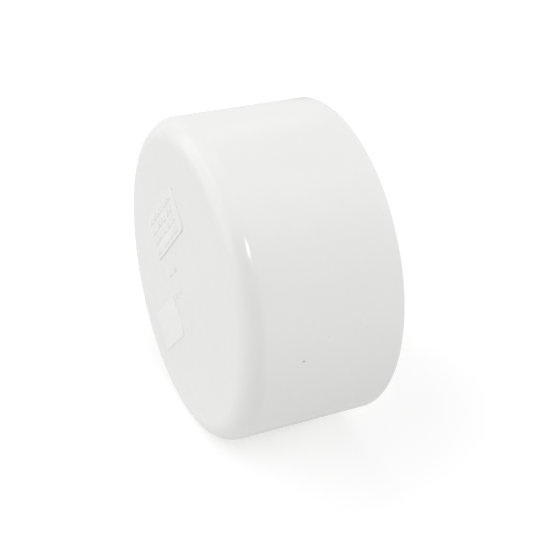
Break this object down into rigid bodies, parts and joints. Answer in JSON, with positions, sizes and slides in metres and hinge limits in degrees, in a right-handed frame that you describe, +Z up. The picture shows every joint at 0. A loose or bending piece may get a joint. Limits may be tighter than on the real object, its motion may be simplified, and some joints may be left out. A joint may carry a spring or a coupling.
{
  "type": "pipe cap",
  "caption": "Round slip-on end cap for 3 inch plastic pipe: plain side wall, rounded closed end with raised marks, deep socket with a pipe stop.",
  "frame": {"origin": "centre of the pipe stop, where the end of the pipe comes to rest", "axes": "+Y along the socket and out of its mouth, the closed face looks along -Y; the cap lies on its side with +Z up"},
  "size_m": [0.0988, 0.048, 0.0988],
  "materials": {
    "moulding": "semi-gloss white moulded PVC"
  },
  "bodies": {
    "root": {"cap_body": "moulding"}
  },
  "joints": []
}
